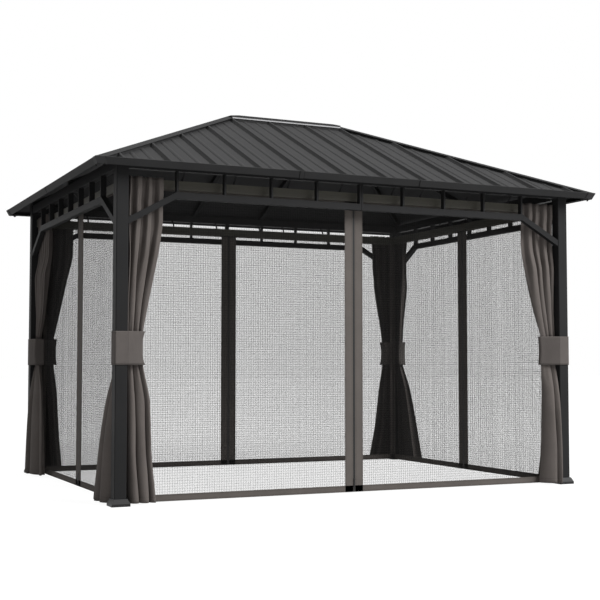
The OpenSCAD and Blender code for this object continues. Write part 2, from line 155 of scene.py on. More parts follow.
def boxes(low, high):
    """Boxes between opposite corners: each corner is low plus its share of high minus low."""
    low, high = np.minimum(low, high), np.maximum(low, high)
    points = low[:, None] + BOX_CORNERS[None] * (high - low)[:, None]
    return points.reshape(-1, 3), repeat_faces(BOX_FACES, len(low), len(BOX_CORNERS))


def thicken(piece, thickness):
    """Gives an open sheet its thickness, half to each side."""
    solid = piece.modifiers.new("thickness", "SOLIDIFY")
    solid.thickness = thickness
    solid.offset = 0.0
    return piece


# Profile of a flat tape: across in half widths, out in half thicknesses
TAPE_PROFILE = np.array([
    [-1.0, -0.4], [-0.97, -1.0], [0.0, -1.0], [0.97, -1.0], [1.0, -0.4],
    [1.0, 0.4], [0.97, 1.0], [0.0, 1.0], [-0.97, 1.0], [-1.0, 0.4],
])


def tapes(start, end, across, out, width, thick):
    """Flat tapes: the tape profile carried along straight paths, with length and way from the edge as UV."""
    start, end, across, out = (np.asarray(a, float) for a in (start, end, across, out))
    width = np.asarray(width, float)
    half = width[:, None, None, None] / 2 * TAPE_PROFILE[None, None, :, :1]
    level = thick / 2 * TAPE_PROFILE[None, None, :, 1:]
    path = np.stack([start, end], 1)[:, :, None, :]
    points = path + half * across[:, None, None, :] + level * out[:, None, None, :]
    length = np.linalg.norm(end - start, axis=1)
    along = np.stack([np.zeros(len(start)), length], 1)[:, :, None]
    from_edge = width[:, None, None] / 2 * (1 - np.abs(TAPE_PROFILE[None, None, :, 0]))
    shape = (len(start), 2, len(TAPE_PROFILE))
    uv = np.stack([np.broadcast_to(along, shape), np.broadcast_to(from_edge, shape)], -1)
    ring = len(TAPE_PROFILE)
    walls = repeat_faces(grid_faces(2, ring, wrap=True), len(start), 2 * ring)
    ends = np.stack([np.arange(ring)[::-1], np.arange(ring, 2 * ring)])
    return points.reshape(-1, 3), [walls, repeat_faces(ends, len(start), 2 * ring)], uv


# Materials

EDGE_SAMPLES = 4


def new_material(name):
    """A material with its node tree and its main shader."""
    material = bpy.data.materials.new(name)
    material.use_nodes = True
    return material, material.node_tree, material.node_tree.nodes["Principled BSDF"]


def add_node(tree, kind, links=None, values=None, **settings):
    """Adds a node, sets its options and values, and links sockets into it."""
    node = tree.nodes.new(kind)
    for key, value in settings.items():
        setattr(node, key, value)
    for key, value in (values or {}).items():
        node.inputs[key].default_value = value
    for key, socket in (links or {}).items():
        tree.links.new(socket, node.inputs[key])
    return node


def math_node(tree, operation, first, second=None):
    """One sum on sockets or numbers."""
    node = add_node(tree, "ShaderNodeMath", operation=operation)
    for i, term in enumerate((first, second)):
        if isinstance(term, bpy.types.NodeSocket):
            tree.links.new(term, node.inputs[i])
        elif term is not None:
            node.inputs[i].default_value = term
    return node.outputs[0]


def noise(tree, where, scale, detail=3.0, roughness=0.5):
    """Noise of a scale in features per metre on given coordinates."""
    values = {"Scale": scale, "Detail": detail, "Roughness": roughness}
    return add_node(tree, "ShaderNodeTexNoise", {"Vector": where}, values).outputs["Fac"]


TONE_LOW = 0.3
TONE_HIGH = 0.7


def two_tones(tree, factor, tone, spread):
    """Colour from a darker to a lighter form of a tone, by a factor around one half."""
    ramp = add_node(tree, "ShaderNodeValToRGB", {"Fac": factor})
    ends = ((TONE_LOW, 1 - spread), (TONE_HIGH, 1 + spread))
    for stop, (place, change) in zip(ramp.color_ramp.elements, ends):
        stop.position = place
        stop.color = (*shade(tone, change), 1.0)
    return ramp.outputs["Color"]


def span(tree, factor, low, high):
    """A number between low and high by a factor from 0 to 1."""
    node = add_node(tree, "ShaderNodeMapRange", {"Value": factor}, {"To Min": low, "To Max": high})
    return node.outputs["Result"]


def shade(tone, factor):
    """A tone made lighter or darker."""
    return tuple(c * factor for c in tone)


def bump(tree, shader, height, strength, distance, edge=0.0):
    """Turns a height into the shader's bump, over edges rounded by a radius if one is given."""
    node = add_node(tree, "ShaderNodeBump", {"Height": height}, {"Strength": strength, "Distance": distance})
    if edge:
        rounded = add_node(tree, "ShaderNodeBevel", values={"Radius": edge}, samples=EDGE_SAMPLES)
        tree.links.new(rounded.outputs["Normal"], node.inputs["Normal"])
    tree.links.new(node.outputs["Normal"], shader.inputs["Normal"])


def blended(tree, first, second, share):
    """A share of one number and the rest of another."""
    most = math_node(tree, "MULTIPLY", first, share)
    rest = math_node(tree, "MULTIPLY", second, 1 - share)
    return math_node(tree, "ADD", most, rest)


PAINT_CLOUD_SHARE = 0.75
PAINT_SPREAD = 0.14
PAINT_ROUGH_SPREAD = 0.05
GRAIN_STRENGTH = 0.12
GRAIN_DEPTH = 0.0004


def powder_coat(name, tone, rough, specular, cloud=2.2, grain=700.0, edge=0.0):
    """Powder coat: clouds of two close tones, roughness that follows them, fine grain and rounded edges."""
    material, tree, shader = new_material(name)
    where = add_node(tree, "ShaderNodeTexCoord").outputs["Object"]
    clouds = noise(tree, where, cloud, detail=4.0, roughness=0.6)
    specks = noise(tree, where, grain, detail=2.0)
    mixed = blended(tree, clouds, specks, PAINT_CLOUD_SHARE)
    tree.links.new(two_tones(tree, mixed, tone, PAINT_SPREAD), shader.inputs["Base Color"])
    roughness = span(tree, clouds, rough - PAINT_ROUGH_SPREAD, rough + PAINT_ROUGH_SPREAD)
    tree.links.new(roughness, shader.inputs["Roughness"])
    shader.inputs["Specular IOR Level"].default_value = specular
    bump(tree, shader, specks, GRAIN_STRENGTH, GRAIN_DEPTH, edge)
    return material


TRACK_STRETCH = (4.0, 4.0, 900.0)
TRACK_SPREAD = 0.2
TRACK_ROUGH = (0.38, 0.55)
TRACK_SPECULAR = 0.15
LINE_STRENGTH = 0.08
LINE_DEPTH = 0.0003


def brushed_track(name, tone):
    """Anodised rail: fine lines drawn along the rail in tone and roughness."""
    material, tree, shader = new_material(name)
    where = add_node(tree, "ShaderNodeTexCoord").outputs["Object"]
    lined = add_node(tree, "ShaderNodeMapping", {"Vector": where}, {"Scale": TRACK_STRETCH})
    lines = noise(tree, lined.outputs["Vector"], scale=1.0)
    tree.links.new(two_tones(tree, lines, tone, TRACK_SPREAD), shader.inputs["Base Color"])
    tree.links.new(span(tree, lines, *TRACK_ROUGH), shader.inputs["Roughness"])
    shader.inputs["Specular IOR Level"].default_value = TRACK_SPECULAR
    bump(tree, shader, lines, LINE_STRENGTH, LINE_DEPTH)
    return material


WEAVE_PITCH = 0.0016
WEAVE_STRENGTH = 0.25
WEAVE_DEPTH = 0.0005
FIBRE_SCALE = 420.0
CLOTH_CLOUDS = 6.0
CLOTH_CLOUD_SHARE = 0.6
CLOTH_SPREAD = 0.12
CLOTH_ROUGH = (0.82, 0.94)
CLOTH_SPECULAR = 0.06
CLOTH_SHEEN = 0.02
SHEEN_ROUGH = 0.5
STITCH_PITCH = 0.007
STITCH_HALF = 0.0009
STITCH_SHARE = 0.62
STITCH_SHADE = 0.55
STITCH_LIFT = 2.0
BEND_LIFT = -3.0


def woven(name, tone, stitch_lines=(), bend_lines=()):
    """Plain weave: crossed sine ribs on the UV map, soft clouds of tone, stitched rows and darker upright
    lines.
    """
    material, tree, shader = new_material(name)
    coords = add_node(tree, "ShaderNodeTexCoord").outputs
    flat = add_node(tree, "ShaderNodeSeparateXYZ", {"Vector": coords["UV"]}).outputs
    turn = 2 * math.pi / WEAVE_PITCH
    warp = math_node(tree, "SINE", math_node(tree, "MULTIPLY", flat["X"], turn))
    weft = math_node(tree, "SINE", math_node(tree, "MULTIPLY", flat["Y"], turn))
    height = math_node(tree, "MULTIPLY", warp, weft)
    clouds = noise(tree, coords["Object"], CLOTH_CLOUDS, detail=4.0, roughness=0.65)
    fibre = noise(tree, coords["Object"], FIBRE_SCALE, detail=2.0)
    mixed = blended(tree, clouds, fibre, CLOTH_CLOUD_SHARE)
    colour = two_tones(tree, mixed, tone, CLOTH_SPREAD)
    beat = math_node(tree, "FRACT", math_node(tree, "DIVIDE", flat["X"], STITCH_PITCH))
    dash = math_node(tree, "LESS_THAN", beat, STITCH_SHARE)
    lines = [(flat["Y"], line, dash, STITCH_LIFT) for line in stitch_lines]
    lines += [(flat["X"], line, 1.0, BEND_LIFT) for line in bend_lines]
    dark = (*shade(tone, STITCH_SHADE), 1.0)
    for axis, line, share, lift in lines:
        near = math_node(tree, "ABSOLUTE", math_node(tree, "SUBTRACT", axis, line))
        on_line = math_node(tree, "LESS_THAN", near, STITCH_HALF)
        stitch = math_node(tree, "MULTIPLY", on_line, share)
        mix = add_node(tree, "ShaderNodeMix", {"Factor": stitch, "A": colour}, {"B": dark}, data_type="RGBA")
        colour = mix.outputs["Result"]
        height = math_node(tree, "ADD", height, math_node(tree, "MULTIPLY", stitch, lift))
    tree.links.new(colour, shader.inputs["Base Color"])
    tree.links.new(span(tree, clouds, *CLOTH_ROUGH), shader.inputs["Roughness"])
    shader.inputs["Specular IOR Level"].default_value = CLOTH_SPECULAR
    shader.inputs["Sheen Weight"].default_value = CLOTH_SHEEN
    shader.inputs["Sheen Roughness"].default_value = SHEEN_ROUGH
    bump(tree, shader, height, WEAVE_STRENGTH, WEAVE_DEPTH)
    return material


YARN_CLOUDS = 9.0
YARN_TWIST = 1500.0
YARN_SPREAD = 0.12
YARN_ROUGH = (0.7, 0.9)
YARN_SPECULAR = 0.08
TWIST_STRENGTH = 0.2
TWIST_DEPTH = 0.0002


def thread(name, tone):
    """Net yarn: clouds of two tones, and a fine twist in roughness and bump."""
    material, tree, shader = new_material(name)
    where = add_node(tree, "ShaderNodeTexCoord").outputs["Object"]
    clouds = noise(tree, where, YARN_CLOUDS)
    twist = noise(tree, where, YARN_TWIST, detail=1.0)
    tree.links.new(two_tones(tree, clouds, tone, YARN_SPREAD), shader.inputs["Base Color"])
    tree.links.new(span(tree, twist, *YARN_ROUGH), shader.inputs["Roughness"])
    shader.inputs["Specular IOR Level"].default_value = YARN_SPECULAR
    bump(tree, shader, twist, TWIST_STRENGTH, TWIST_DEPTH)
    return material


FRAME_TONE = (0.0170, 0.0170, 0.0174)
ROOF_TONE = (0.0356, 0.0356, 0.0362)
TRIM_TONE = (0.0235, 0.0235, 0.0239)
COVER_TONE = (0.028, 0.028, 0.0286)
TRACK_TONE = (0.0740, 0.0705, 0.0585)
FOOT_TONE = (0.0190, 0.0190, 0.0195)
NET_TONE = (0.0125, 0.0122, 0.0120)
BAND_TONE = (0.1015, 0.0905, 0.0835)
CURTAIN_TONE = (0.107, 0.0945, 0.088)
TIE_TONE = (0.0935, 0.0835, 0.0785)
ZIP_TONE = (0.010, 0.010, 0.010)
# Near-black of the fascia joint lines: painted shade of the gaps at joints and cover edges
GAP_SHADE_TONE = (0.006, 0.006, 0.006)
# Light grey of the ridge strips: a painted highlight standing for a reflection on the ridge cap
RIDGE_HIGHLIGHT_TONE = (0.29, 0.29, 0.295)

frame_paint = powder_coat("satin frame paint", FRAME_TONE, rough=0.58, specular=0.07, edge=0.0022)
roof_paint = powder_coat("matt roof sheet paint", ROOF_TONE, rough=0.72, specular=0.06, cloud=1.4, edge=0.003)
cover_paint = powder_coat("corner cover paint", COVER_TONE, rough=0.60, specular=0.08, cloud=9.0, edge=0.0016)
trim_paint = powder_coat("roof trim paint", TRIM_TONE, rough=0.64, specular=0.06, cloud=3.0, edge=0.0016)
track_finish = brushed_track("dark curtain rail", TRACK_TONE)
foot_finish = powder_coat(
    "moulded foot cover", FOOT_TONE, rough=0.45, specular=0.14, cloud=12.0, grain=1400.0, edge=0.0035)
net_thread = thread("net yarn", NET_TONE)
band_cloth = woven("net band cloth", BAND_TONE, stitch_lines=(0.005, 0.009))
curtain_cloth = woven("curtain cloth", CURTAIN_TONE, stitch_lines=(0.032,))
# The tie's darker upright lines lie where the band bends round the post's front edges
tie_cloth = woven("tie cloth", TIE_TONE, stitch_lines=(0.008, 0.192), bend_lines=(0.005, 0.083))
zip_finish = powder_coat("moulded zip", ZIP_TONE, rough=0.5, specular=0.3, cloud=20.0, grain=1800.0)
screw_finish = powder_coat(
    "painted screw heads", FRAME_TONE, rough=0.35, specular=0.4, cloud=30.0, grain=1200.0)
# Joint lines: painted shade of the gaps at fascia joints and cover edges
gap_shade_finish = powder_coat("painted gap shade", GAP_SHADE_TONE, rough=0.85, specular=0.05, cloud=25.0, grain=900.0)
# Ridge strips: a painted highlight, light and glossy, standing for a reflection on the ridge cap
ridge_highlight_finish = powder_coat(
    "painted ridge highlight", RIDGE_HIGHLIGHT_TONE, rough=0.40, specular=0.30, cloud=5.0, grain=1500.0)

FINISHES = {
    "frame_paint": frame_paint,
    "roof_sheet": roof_paint,
    "roof_trim": trim_paint,
    "track_aluminium": track_finish,
    "foot_plastic": foot_finish,
    "net_mesh": net_thread,
    "curtain_cloth": curtain_cloth,
    "tie_cloth": tie_cloth,
}


def finish_nodes():
    """Gives each CAD node the material of its slot in the record."""
    for row in frame["record"]["subparts"]:
        node = frame["nodes"][row["node"]]
        node.data.materials.clear()
        node.data.materials.append(FINISHES[row["material_slot"]])


# Curtains

CURTAIN_ROWS = 98
CURTAIN_STEPS = 150
CLOTH_THICK = 0.0016
CLOTH_MARGIN = 0.003

# Edges and room: the knees of the edges, the bulge and the pinch of the room below the braces, and the
# stretches over which lines are rounded
KNEE_LOW = 0.29
KNEE_HIGH = 0.63
BRACE_BULGE = 0.16
BRACE_PINCH = 0.03
EDGE_BLUR = 0.04
ROOM_BLUR = 0.03
BLUR_STEPS = 9

# Folds: the part of the last fold that is cut off, how far their sides close in, in the gathers and below
# the rail, the steps of their sides there, their lean, the power that flattens their backs, and their wander
EDGE_CUT = 0.38
EDGE_WHOLE = 0.05
VALLEY_PULL = 0.84
RAIL_PULL = 0.15
RIDGE_FOOT = 0.55
RIDGE_RISE = 0.40
LEAN = 0.15
LEAN_SPREAD = 0.05
LOOSE_LEAN = 0.9
FOLD_FLAT = 0.7
FOLD_WAVES = (0.35, 0.8)
FOLD_HEIGHTS = (0.85, 1.0)
WIDTH_WANDER = 0.16
HEIGHT_WANDER = 0.07
HEIGHT_TURN = 1.4
HEIGHT_PHASE = 1.0
VALLEY_FLOOR = 0.12

# Hang of the sheet: where folds change over inside the tie, where they come loose, how far valleys lie in
# and where that ends below the rail, the flare below the tie, the squeeze by the tie, creases and ripples
TIE_COVER = 0.03
LOOSE_BELOW = 0.45
LOOSE_SPAN = 0.5
VALLEY_IN = 0.009
VALLEY_SPAN = 0.2
RAIL_CLEAR = 0.09
RAIL_SPAN = 0.07
FLARE_POWER = 4.0
SQUEEZE_SPAN = 0.12
CREASES = 8
CREASE_SPAN = 0.085
CREASE_DEPTH = 0.06
CREASE_PHASE = 6.0
RIPPLE_UP = 2.3
RIPPLE_ACROSS = 1.6
RIPPLE_DEPTH = 0.0018

curtain_heights = np.array([curtain_bottom, KNEE_LOW, KNEE_HIGH, tie_bottom, tie_top, brace_z, curtain_top])
room_heights = np.array([
    curtain_bottom, tie_bottom, tie_top, brace_z - BRACE_BULGE, brace_z - BRACE_PINCH, curtain_top])
room_depths = np.array([0.074, 0.042, 0.042, 0.068, 0.040, 0.037])

# A gathered curtain: its corner and side; the place of its free edge from the post at hem, two knees, tie,
# braces and top; how far it is flared out below the tie by the post, at the free edge and between them; how
# far its free edge bows above the tie; the share of the depth that it takes there; the share that the tie
# squeezes off at the free edge; its folds from the post on: widths and heights above the tie, widths below;
# the seed of its random draws
Curtain = collections.namedtuple("Curtain", (
    "sign_x sign_y long_side far flare bow reach squeeze above tall below seed"))
POST_EDGE = (0.024, 0.012, 0.008, 0.005, 0.007, 0.010)
CURTAINS = {
    "front_left_long_curtain": Curtain(
        -1, -1, True, (0.186, 0.156, 0.147, 0.104, 0.228, 0.230), (0.0, 0.0, 0.0), 0.0, 1.0, 0.0,
        (0.35, 1.2, 1.1, 1.3), (0.9, 1.0, 0.9, 0.9), (1.1, 1.0, 0.7), 3),
    "front_left_short_curtain": Curtain(
        -1, -1, False, (0.320, 0.270, 0.200, 0.102, 0.160, 0.170), (0.015, 0.018, 0.040), 0.0, 0.55, 0.0,
        (0.8, 1.0, 1.0, 0.9, 1.0), (), (1.2, 1.0, 0.8), 11),
    "front_right_long_curtain": Curtain(
        1, -1, True, (0.147, 0.125, 0.114, 0.110, 0.264, 0.256), (0.066, 0.0, 0.0), 0.026, 1.0, 0.72,
        (0.6, 1.1, 0.9, 1.2), (0.7, 1.0, 0.85, 1.0), (0.6, 1.4), 7),
    "front_right_short_curtain": Curtain(
        1, -1, False, (0.300, 0.230, 0.160, 0.102, 0.220, 0.220), (0.010, 0.010, 0.010), 0.0, 0.8, 0.0,
        (0.9, 1.0, 1.1, 0.9, 1.0), (), (1.0, 0.8, 1.1), 19),
    "back_left_long_curtain": Curtain(
        -1, 1, True, (0.196, 0.166, 0.142, 0.112, 0.254, 0.258), (0.0, 0.0, 0.0), 0.0, 1.0, 0.0,
        (0.9, 1.0, 0.8, 1.0), (), (1.0, 0.8, 0.9), 23),
    "back_left_short_curtain": Curtain(
        -1, 1, False, (0.380, 0.330, 0.230, 0.102, 0.390, 0.390), (0.060, 0.0, 0.0), 0.040, 1.0, 0.0,
        (0.7, 0.9, 0.8, 1.0, 0.9, 1.0), (), (0.6, 1.7, 0.9), 29),
    "back_right_long_curtain": Curtain(
        1, 1, True, (0.235, 0.180, 0.140, 0.102, 0.215, 0.215), (0.0, 0.0, 0.0), 0.0, 1.0, 0.0,
        (0.9, 1.0, 1.1, 0.9), (), (1.0, 1.1, 0.9), 31),
    "back_right_short_curtain": Curtain(
        1, 1, False, (0.360, 0.280, 0.190, 0.102, 0.195, 0.195), (0.030, 0.020, 0.0), 0.0, 0.8, 0.0,
        (0.9, 1.1, 0.8, 1.0, 1.0), (), (1.0, 1.2, 0.8), 37),
}


def smooth_step(f):
    """Eases a share from 0 to 1: three squares less two cubes."""
    f = np.clip(f, 0.0, 1.0)
    return f * f * (3 - 2 * f)


def eased_line(z, heights, values, blur):
    """Straight lines through values at heights, with knees rounded by the mean over a short stretch."""
    stretch = np.linspace(-blur, blur, BLUR_STEPS)
    return np.interp(z[..., None] + stretch, heights, values).mean(-1)


def side_points(along, outward, z, sign_x, sign_y, long_side):
    """Places cloth beside a post: along the side from the post's inner face, outward from its inner plane."""
    if long_side:
        x, y = post_inner[0] - along, post_inner[1] + outward
    else:
        x, y = post_inner[0] + outward, post_inner[1] - along
    return np.stack([sign_x * x, sign_y * y, np.broadcast_to(z, x.shape)], -1)


def fold_pattern(u, z, widths, tall, cut, flat, loose, lean_to, pick):
    """Row of folds from the post to the free edge, as shares of the cloth's width and of its depth.

    A fold of width w that starts at a is passed by t from 0 to 1. It lies at
    a + w (t - k sin(2 pi t) / 2 pi), leaned aside by a share of sin(pi t), and stands out by a power of
    sin(pi t) over a valley floor that runs straight from one side of the fold to the other. Where the cloth
    hangs loose below the rail, the sides are eased steps: wide valleys and narrow ridges. Widths and heights
    wander with the height as slow sines, and the last fold is cut at the free edge.
    """
    folds = len(widths)
    place = u * (folds - cut)
    index = np.minimum(place.astype(int), folds - 1)
    t = place - index
    index = index[0]
    turn = 2 * np.pi * (z * pick.uniform(*FOLD_WAVES, folds) + pick.uniform(0.0, 1.0, folds))
    width = np.array(widths) * (1 + WIDTH_WANDER * np.sin(turn))
    start = np.cumsum(width, axis=1) - width
    wander = HEIGHT_WANDER * (np.sin(HEIGHT_TURN * turn + HEIGHT_PHASE) - 1)
    height = np.array(tall or (1.0,)) * pick.uniform(*FOLD_HEIGHTS, folds) * (1 + wander)
    floor = pick.uniform(0.0, VALLEY_FLOOR, folds + 1)
    lean = lean_to + pick.uniform(-LEAN_SPREAD, LEAN_SPREAD, folds)
    pull = VALLEY_PULL + (RAIL_PULL - VALLEY_PULL) * loose
    aside = lean[index] * (1 + LOOSE_LEAN * loose) * np.sin(np.pi * t)
    bend = t - pull * np.sin(2 * np.pi * t) / (2 * np.pi) + aside
    along = start[:, index] + width[:, index] * bend
    base = (floor[index] * (1 - t) + floor[index + 1] * t) * (1 - loose)
    wave = np.clip(np.sin(np.pi * t), 0.0, 1.0)
    soft = wave ** flat
    steep = smooth_step((wave - RIDGE_FOOT) / RIDGE_RISE)
    depth = base + (height[:, index] - base) * (soft + (steep - soft) * loose)
    return along / along[:, -1:], depth


def gathered_cloth(curtain):
    """Gathered sheet over across u and height z: folds above the tie pass into other folds below it.

    The edges and the room for folds follow straight lines with rounded knees from hem to rail, and the free
    edge bows as half a sine. Below the tie the sheet is flared out as a bell: one less a power of the height.
    Small creases fan out from both edges of the tie, and the tie's squeeze fades from it, both as bell curves
    of the height. A slow ripple moves the folds sideways.
    """
    pick = np.random.default_rng(curtain.seed)
    u = np.linspace(0.0, 1.0, CURTAIN_STEPS + 1)[None]
    z = np.linspace(curtain_bottom, curtain_top, CURTAIN_ROWS)[:, None]
    share = smooth_step((z - tie_bottom - TIE_COVER) / (tie_height - 2 * TIE_COVER))
    loose = smooth_step((z - brace_z + LOOSE_BELOW) / LOOSE_SPAN)
    lean = -curtain.sign_x * LEAN if curtain.long_side else 0.0
    cut = EDGE_WHOLE if lean < 0 else EDGE_CUT
    along_low, depth_low = fold_pattern(u, z, curtain.below, (), cut, 1.0, 0 * z, lean, pick)
    along_high, depth_high = fold_pattern(
        u, z, curtain.above, curtain.tall, cut, FOLD_FLAT, loose, lean, pick)
    across = along_low + (along_high - along_low) * share
    depth = depth_low + (depth_high - depth_low) * share
    hem, low, high, tie, brace, top = range(len(POST_EDGE))
    order = [hem, low, high, tie, tie, brace, top]
    near = eased_line(z, curtain_heights, np.array(POST_EDGE)[order], EDGE_BLUR)
    far = eased_line(z, curtain_heights, np.array(curtain.far)[order], EDGE_BLUR)
    rise = np.clip((z - tie_top) / (brace_z - tie_top), 0.0, 1.0)
    far = far + curtain.bow * np.sin(np.pi * rise)
    by_post, by_edge, belly = curtain.flare
    bell = 1 - np.clip(z / tie_bottom, 0.0, 1.0) ** FLARE_POWER
    flare = bell * (by_post + (by_edge - by_post) * across + 4 * belly * across * (1 - across))
    held = smooth_step((z - KNEE_LOW) / (tie_bottom - KNEE_LOW))
    room = eased_line(z, room_heights, room_depths, ROOM_BLUR) * (1 + (curtain.reach - 1) * held)
    off_tie = np.maximum(np.abs(z - (tie_bottom + tie_top) / 2) - tie_height / 2, 0.0)
    room = room * (1 - curtain.squeeze * np.exp(-(off_tie / SQUEEZE_SPAN) ** 2) * across)
    to_tie = np.minimum(np.abs(z - tie_bottom), np.abs(z - tie_top))
    fan = np.sin(2 * np.pi * CREASES * u + pick.uniform(0.0, CREASE_PHASE))
    crease = CREASE_DEPTH * np.exp(-(to_tie / CREASE_SPAN) ** 2) * fan
    ripple = np.sin(2 * np.pi * (z * RIPPLE_UP + RIPPLE_ACROSS * u + pick.uniform(0.0, 1.0)))
    under_rail = 1 - smooth_step((z - net_top + RAIL_CLEAR) / RAIL_SPAN)
    start = CLOTH_MARGIN - VALLEY_IN * smooth_step((z - tie_top) / VALLEY_SPAN) * under_rail
    outward = start + flare + room * np.clip(depth + crease * depth, 0.0, 1.0)
    along = near + (far - near) * np.clip(across, 0.0, 1.0)
    return along + RIPPLE_DEPTH * ripple * np.sin(np.pi * u), outward, z


def make_curtain(name, curtain):
    """One gathered curtain with its thickness, standing for its corner's CAD curtains."""
    along, outward, z = gathered_cloth(curtain)
    points = side_points(along, outward, z, curtain.sign_x, curtain.sign_y, curtain.long_side)
    steps = np.hypot(np.diff(along, axis=1), np.diff(outward, axis=1))
    across = np.concatenate([np.zeros((len(z), 1)), np.cumsum(steps, axis=1)], axis=1)
    flat_w = float(across[:, -1].mean())
    uv = np.stack([across / across[:, -1:] * flat_w, z - curtain_bottom + 0 * across], -1)
    faces = [grid_faces(*along.shape)]
    piece = thicken(make_piece(name, points, faces, curtain_cloth, uv), CLOTH_THICK)
    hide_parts(corner_label(curtain.sign_x, curtain.sign_y) + "_curtains")
    return piece


# Tie bands

TIE_ROWS = 15
TIE_STEPS = 150
TIE_THICK = 0.003
TIE_CLEAR = 0.0025
TIE_BEHIND = 0.0045
TIE_CURL = 0.003
TIE_CURLS = 7
TIE_ARC_STEPS = 7
POST_ROUND = 0.007
LEAVE_ROUND = 0.006
CLOTH_ROUND = 0.014
INNER_ROUND = 0.012
SHORT_REACH = 0.115

# Ties: the corner, how far the band is pulled in at half height, how far it reaches along the long side from
# the post, and how far out from the post's inner plane its ends are on the long and on the short side
Tie = collections.namedtuple("Tie", "sign_x sign_y pinch reach long_depth short_depth")
TIES = (
    Tie(-1, -1, 0.020, 0.115, 0.056, 0.038),
    Tie(1, -1, 0.006, 0.128, 0.012, 0.052),
    Tie(-1, 1, 0.010, 0.130, 0.056, 0.060),
    Tie(1, 1, 0.016, 0.115, 0.056, 0.056),
)


def rounded_loop(corners, radii, steps):
    """Closed path whose corners are cut back and replaced by points of a quadratic curve."""
    corners = np.asarray(corners, float)
    radii = np.asarray(radii, float)[:, None]
    before = np.roll(corners, 1, 0) - corners
    after = np.roll(corners, -1, 0) - corners
    enter = corners + before / np.linalg.norm(before, axis=1)[:, None] * radii
    leave = corners + after / np.linalg.norm(after, axis=1)[:, None] * radii
    t = np.linspace(0.0, 1.0, steps)[None, :, None]
    arcs = (1 - t) ** 2 * enter[:, None] + 2 * t * (1 - t) * corners[:, None] + t ** 2 * leave[:, None]
    return arcs.reshape(-1, 2)


def spread_path(path, count):
    """Points at even distances along a closed path, with the distance of each."""
    closed = np.vstack([path, path[:1]])
    step = np.linalg.norm(np.diff(closed, axis=0), axis=1)
    at = np.concatenate([[0.0], np.cumsum(step)])
    want = np.linspace(0.0, at[-1], count, endpoint=False)
    return np.stack([np.interp(want, at, closed[:, i]) for i in (0, 1)], -1), want, at[-1]


def make_tie(tie):
    """Tie band: a loop round post and both curtains, pulled in at half height where it holds only cloth.

    The pull grows as the square of the way from the post to the band's far end, and small curls follow it.
    """
    inside = net_plane + TIE_BEHIND
    out = post_outer + TIE_CLEAR
    reach = np.array([tie.reach, SHORT_REACH])
    far = post_inner - reach
    corners = [
        out, (post_inner[0], out[1]), (far[0], post_inner[1] + tie.long_depth), (far[0], inside[1]),
        inside, (inside[0], far[1]), (post_inner[0] + tie.short_depth, far[1]), (out[0], post_inner[1]),
    ]
    radii = [
        POST_ROUND, LEAVE_ROUND, CLOTH_ROUND, CLOTH_ROUND,
        INNER_ROUND, CLOTH_ROUND, CLOTH_ROUND, LEAVE_ROUND,
    ]
    plan, at, length = spread_path(rounded_loop(corners, radii, TIE_ARC_STEPS), TIE_STEPS)
    v = np.linspace(0.0, 1.0, TIE_ROWS)[:, None]
    waist = 1 - (2 * v - 1) ** 2
    pull = np.clip((post_inner - plan) / reach, 0.0, 1.0) ** 2
    curl = TIE_CURL * np.sin(at / length * 2 * np.pi * TIE_CURLS)[None] * waist * pull.max(1)[None]
    x = plan[None, :, 0] + tie.pinch * waist * pull[None, :, 0] + curl
    y = plan[None, :, 1] + tie.pinch * waist * pull[None, :, 1] + curl
    up = tie_height * v + 0 * x
    points = np.stack([tie.sign_x * x, tie.sign_y * y, tie_bottom + up], -1)
    uv = np.stack([np.broadcast_to(at[None], x.shape), up], -1)
    corner = corner_label(tie.sign_x, tie.sign_y)
    faces = [grid_faces(TIE_ROWS, len(plan), wrap=True)]
    piece = thicken(make_piece(corner + "_tie", points, faces, tie_cloth, uv), TIE_THICK)
    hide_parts("tie_bands")
    return piece


# Nets

NET_PITCH = 0.016
NET_YARN = 0.0008
FINE_PITCH = 0.004
FINE_YARN = 0.00038
YARN_DEPTH = 0.6
BAND_THICK = 0.0024
BAND_CENTRE = 0.058
BAND_BOTTOM = 0.042
BAND_TOP = 0.008
BAND_POST = 0.030
ZIP_GAP = 0.014
ZIP_TAPE = 0.009
ZIP_TAPE_T = 0.0012
ZIP_PITCH = 0.0044
ZIP_TOOTH = np.array([0.0048, 0.0030, 0.0022])
TEETH_MESH = 0.45
TEETH_FROM_HEM = 0.012
TEETH_FROM_TOP = 0.010

# Slider of a zip and its tab: height of the slider, half widths, back and front faces, lower and upper ends
SLIDER_UP = 0.075
SLIDER_HALF = np.array([0.006, 0.0035])
SLIDER_BACK = np.array([-0.004, 0.004])
SLIDER_FRONT = np.array([0.004, 0.006])
SLIDER_LOW = np.array([0.0, -0.042])
SLIDER_HIGH = np.array([0.014, 0.004])

# Each net: the axis it runs along, the sign of its side, and the place of its zip on that axis
NETS = {
    "front": (0, -1, -0.016),
    "back": (0, 1, -0.008),
    "left": (1, -1, -0.03),
    "right": (1, 1, 0.005),
}


def net_points(along, out, z, axis, sign):
    """Places points of a net: along the side, out from the net's plane, and up."""
    across = sign * (net_plane[1 - axis] + out)
    first, second = (along, across) if axis == 0 else (across, along)
    return np.stack(np.broadcast_arrays(first, second, z), -1)


def yarn_boxes(low, high, pitch, yarn, axis, sign):
    """Straight yarns both ways between two edges: uprights just outside the plane, level ones just inside."""
    level_z = np.arange(net_bottom + pitch / 2, net_top, pitch)
    up_at = np.arange(low + pitch / 2, high, pitch)
    half = yarn / 2
    up_low = net_points(up_at - half, 0.0, net_bottom, axis, sign)
    up_high = net_points(up_at + half, yarn * YARN_DEPTH, net_top, axis, sign)
    level_low = net_points(np.full_like(level_z, low), -yarn * YARN_DEPTH, level_z - half, axis, sign)
    level_high = net_points(np.full_like(level_z, high), 0.0, level_z + half, axis, sign)
    return np.concatenate([up_low, level_low]), np.concatenate([up_high, level_high])


